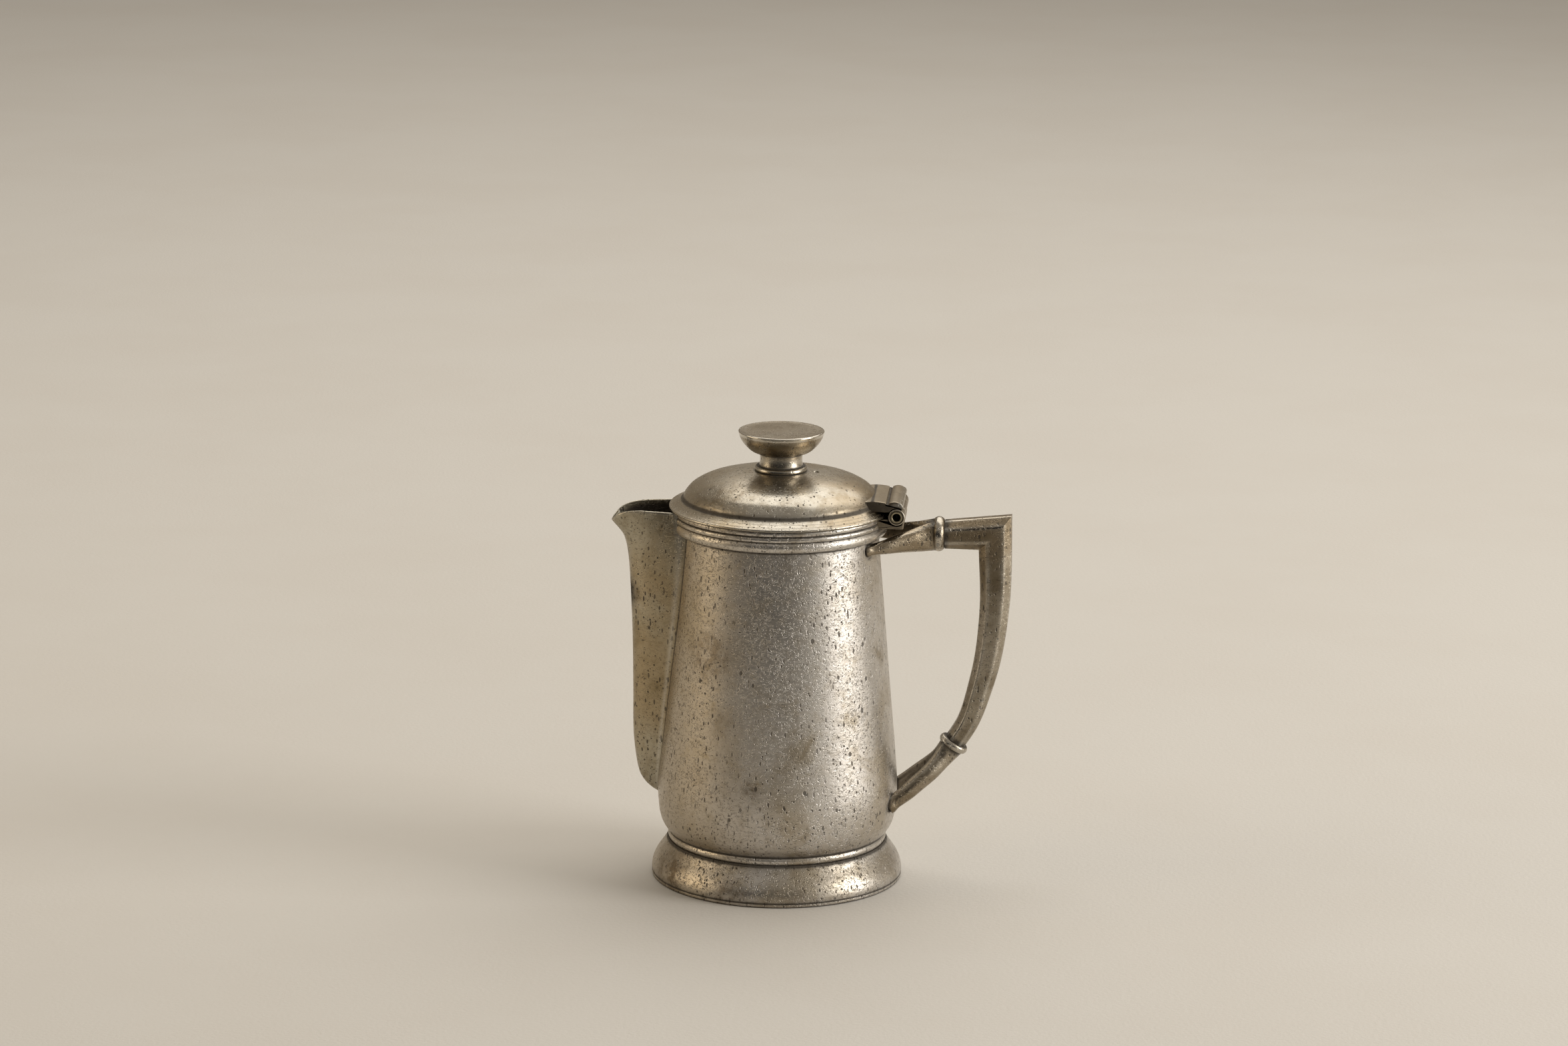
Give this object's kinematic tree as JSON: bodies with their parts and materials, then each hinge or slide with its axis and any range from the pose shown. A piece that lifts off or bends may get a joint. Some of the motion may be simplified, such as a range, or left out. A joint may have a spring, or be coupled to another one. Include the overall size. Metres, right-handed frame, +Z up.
{
  "type": "hinged-lid coffee pot",
  "caption": "Small silver-plated hot drinks pot with a gutter spout, a hinged domed lid with a drum knob, and a forked hollow handle.",
  "frame": {"origin": "centre of the foot's resting plane, on the body's axis", "axes": "+Z up, +X towards the handle, -X towards the spout; the pot is symmetric about the XZ plane"},
  "size_m": [0.1274, 0.0802, 0.1455],
  "materials": {
    "body_plate": "worn, pitted silver plate",
    "spout_plate": "worn, pitted silver plate",
    "lid_plate": "worn, tarnished silver plate",
    "knob_plate": "handled silver plate, dull top and bright neck",
    "handle_plate": "tarnished silver plate, bright along its edges",
    "hinge_plate": "worn silver plate",
    "pin_metal": "bare nickel brass"
  },
  "bodies": {
    "pot": {"foot_ring": "body_plate", "foot_wire": "body_plate", "waist_band": "body_plate", "body_shell": "body_plate", "body_floor": "body_plate", "rim_band": "body_plate", "spout_shell": "spout_plate", "hinge_bracket": "hinge_plate", "hinge_knuckle_near": "hinge_plate", "hinge_knuckle_far": "hinge_plate", "hinge_pin": "pin_metal", "handle_upper_fork": "handle_plate", "handle_lower_fork": "handle_plate", "handle_upper_collar": "handle_plate", "handle_lower_collar": "handle_plate", "handle_grip": "handle_plate"},
    "lid": {"lid_bezel": "lid_plate", "lid_brim": "lid_plate", "lid_dome": "lid_plate", "lid_leaf": "hinge_plate", "lid_knuckle": "hinge_plate", "knob_neck": "knob_plate", "knob_head": "knob_plate", "knob_stud": "pin_metal", "knob_washer": "pin_metal", "knob_nut": "pin_metal"}
  },
  "joints": [
    {"name": "lid_hinge", "type": "hinge", "parent": "pot", "child": "lid", "pos_m": [0.0374, 0, 0.121], "axis": [0, 1, 0], "range_deg": [0, 95]}
  ]
}
